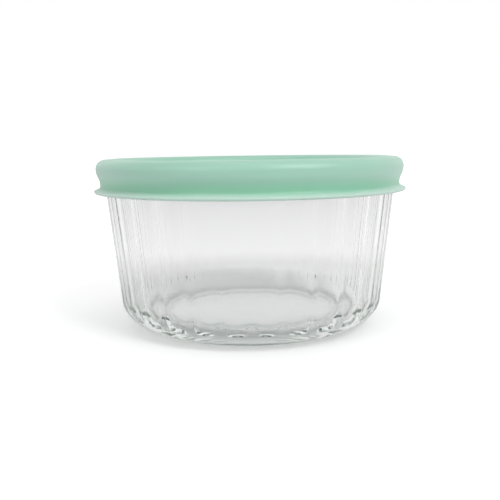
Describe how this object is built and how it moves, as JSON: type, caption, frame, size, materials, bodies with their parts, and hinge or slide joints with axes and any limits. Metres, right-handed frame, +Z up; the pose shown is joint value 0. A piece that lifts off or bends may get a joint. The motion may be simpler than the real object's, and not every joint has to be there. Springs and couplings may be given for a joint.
{
  "type": "ribbed glass bowl with lid",
  "caption": "Round fluted clear-glass storage bowl with a soft mint-green press-on lid that has a fat rolled rim, a pull lip all round and a sunk panel for stacking.",
  "frame": {"origin": "middle of the flat face that the bowl stands on", "axes": "+Z up along the bowl's axis, with a rib of the glass facing -Y, the side that the picture shows"},
  "size_m": [0.16, 0.16, 0.0861],
  "materials": {
    "clear_glass": "polished, pressed",
    "mint_plastic": "satin"
  },
  "bodies": {
    "bowl": {"glass_bowl": "clear_glass"},
    "lid": {"snap_lid": "mint_plastic"}
  },
  "joints": [
    {"name": "lid_lift", "type": "slide", "parent": "bowl", "child": "lid", "axis": [0, 0, 1], "range_m": [0, 0.12]}
  ]
}
